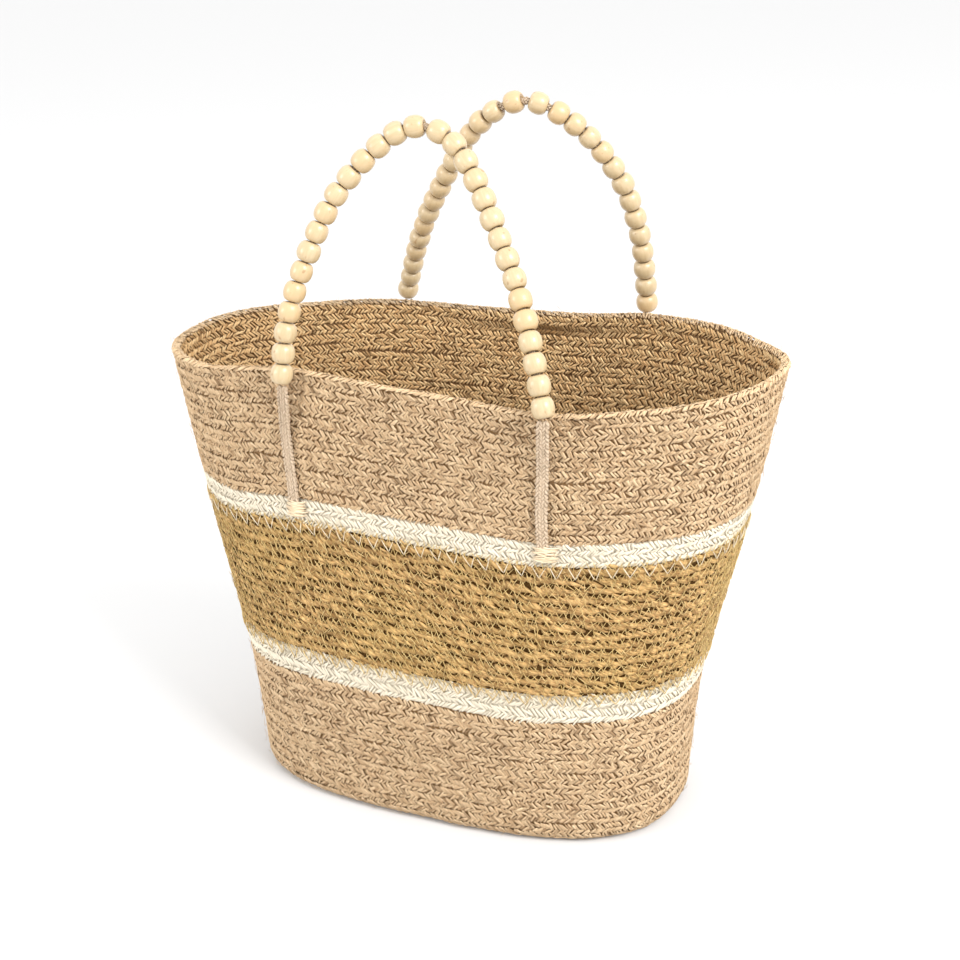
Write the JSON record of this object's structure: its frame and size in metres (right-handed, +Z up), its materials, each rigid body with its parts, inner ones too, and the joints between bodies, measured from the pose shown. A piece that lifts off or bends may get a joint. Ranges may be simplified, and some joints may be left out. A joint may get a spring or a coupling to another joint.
{
  "type": "straw basket bag",
  "caption": "Oval open-top basket bag wound from jute braid and seagrass, with two arched handles of wooden beads on cord.",
  "frame": {"origin": "middle of the bag's box, on the floor that it stands on", "axes": "+X along the bag to its right end, +Y to the back, +Z up"},
  "size_m": [0.4286, 0.214, 0.4792],
  "materials": {
    "jute_braid": "golden tan jute braid, matt, with darker gaps between its strands",
    "cream_braid": "bleached cream braid, matt",
    "seagrass_rope": "olive brown twisted seagrass with paler blades and dark gaps",
    "bead_wood": "pale natural wood, satin varnish",
    "handle_cord": "greyish beige braided cord, matt"
  },
  "bodies": {
    "root": {"base_panel": "jute_braid", "lower_jute_band": "jute_braid", "lower_cream_band": "cream_braid", "seagrass_band": "seagrass_rope", "upper_cream_band": "cream_braid", "upper_jute_band": "jute_braid", "front_bead_string": "bead_wood", "back_bead_string": "bead_wood", "front_left_leg": "handle_cord", "front_right_leg": "handle_cord", "back_left_leg": "handle_cord", "back_right_leg": "handle_cord"}
  },
  "joints": []
}
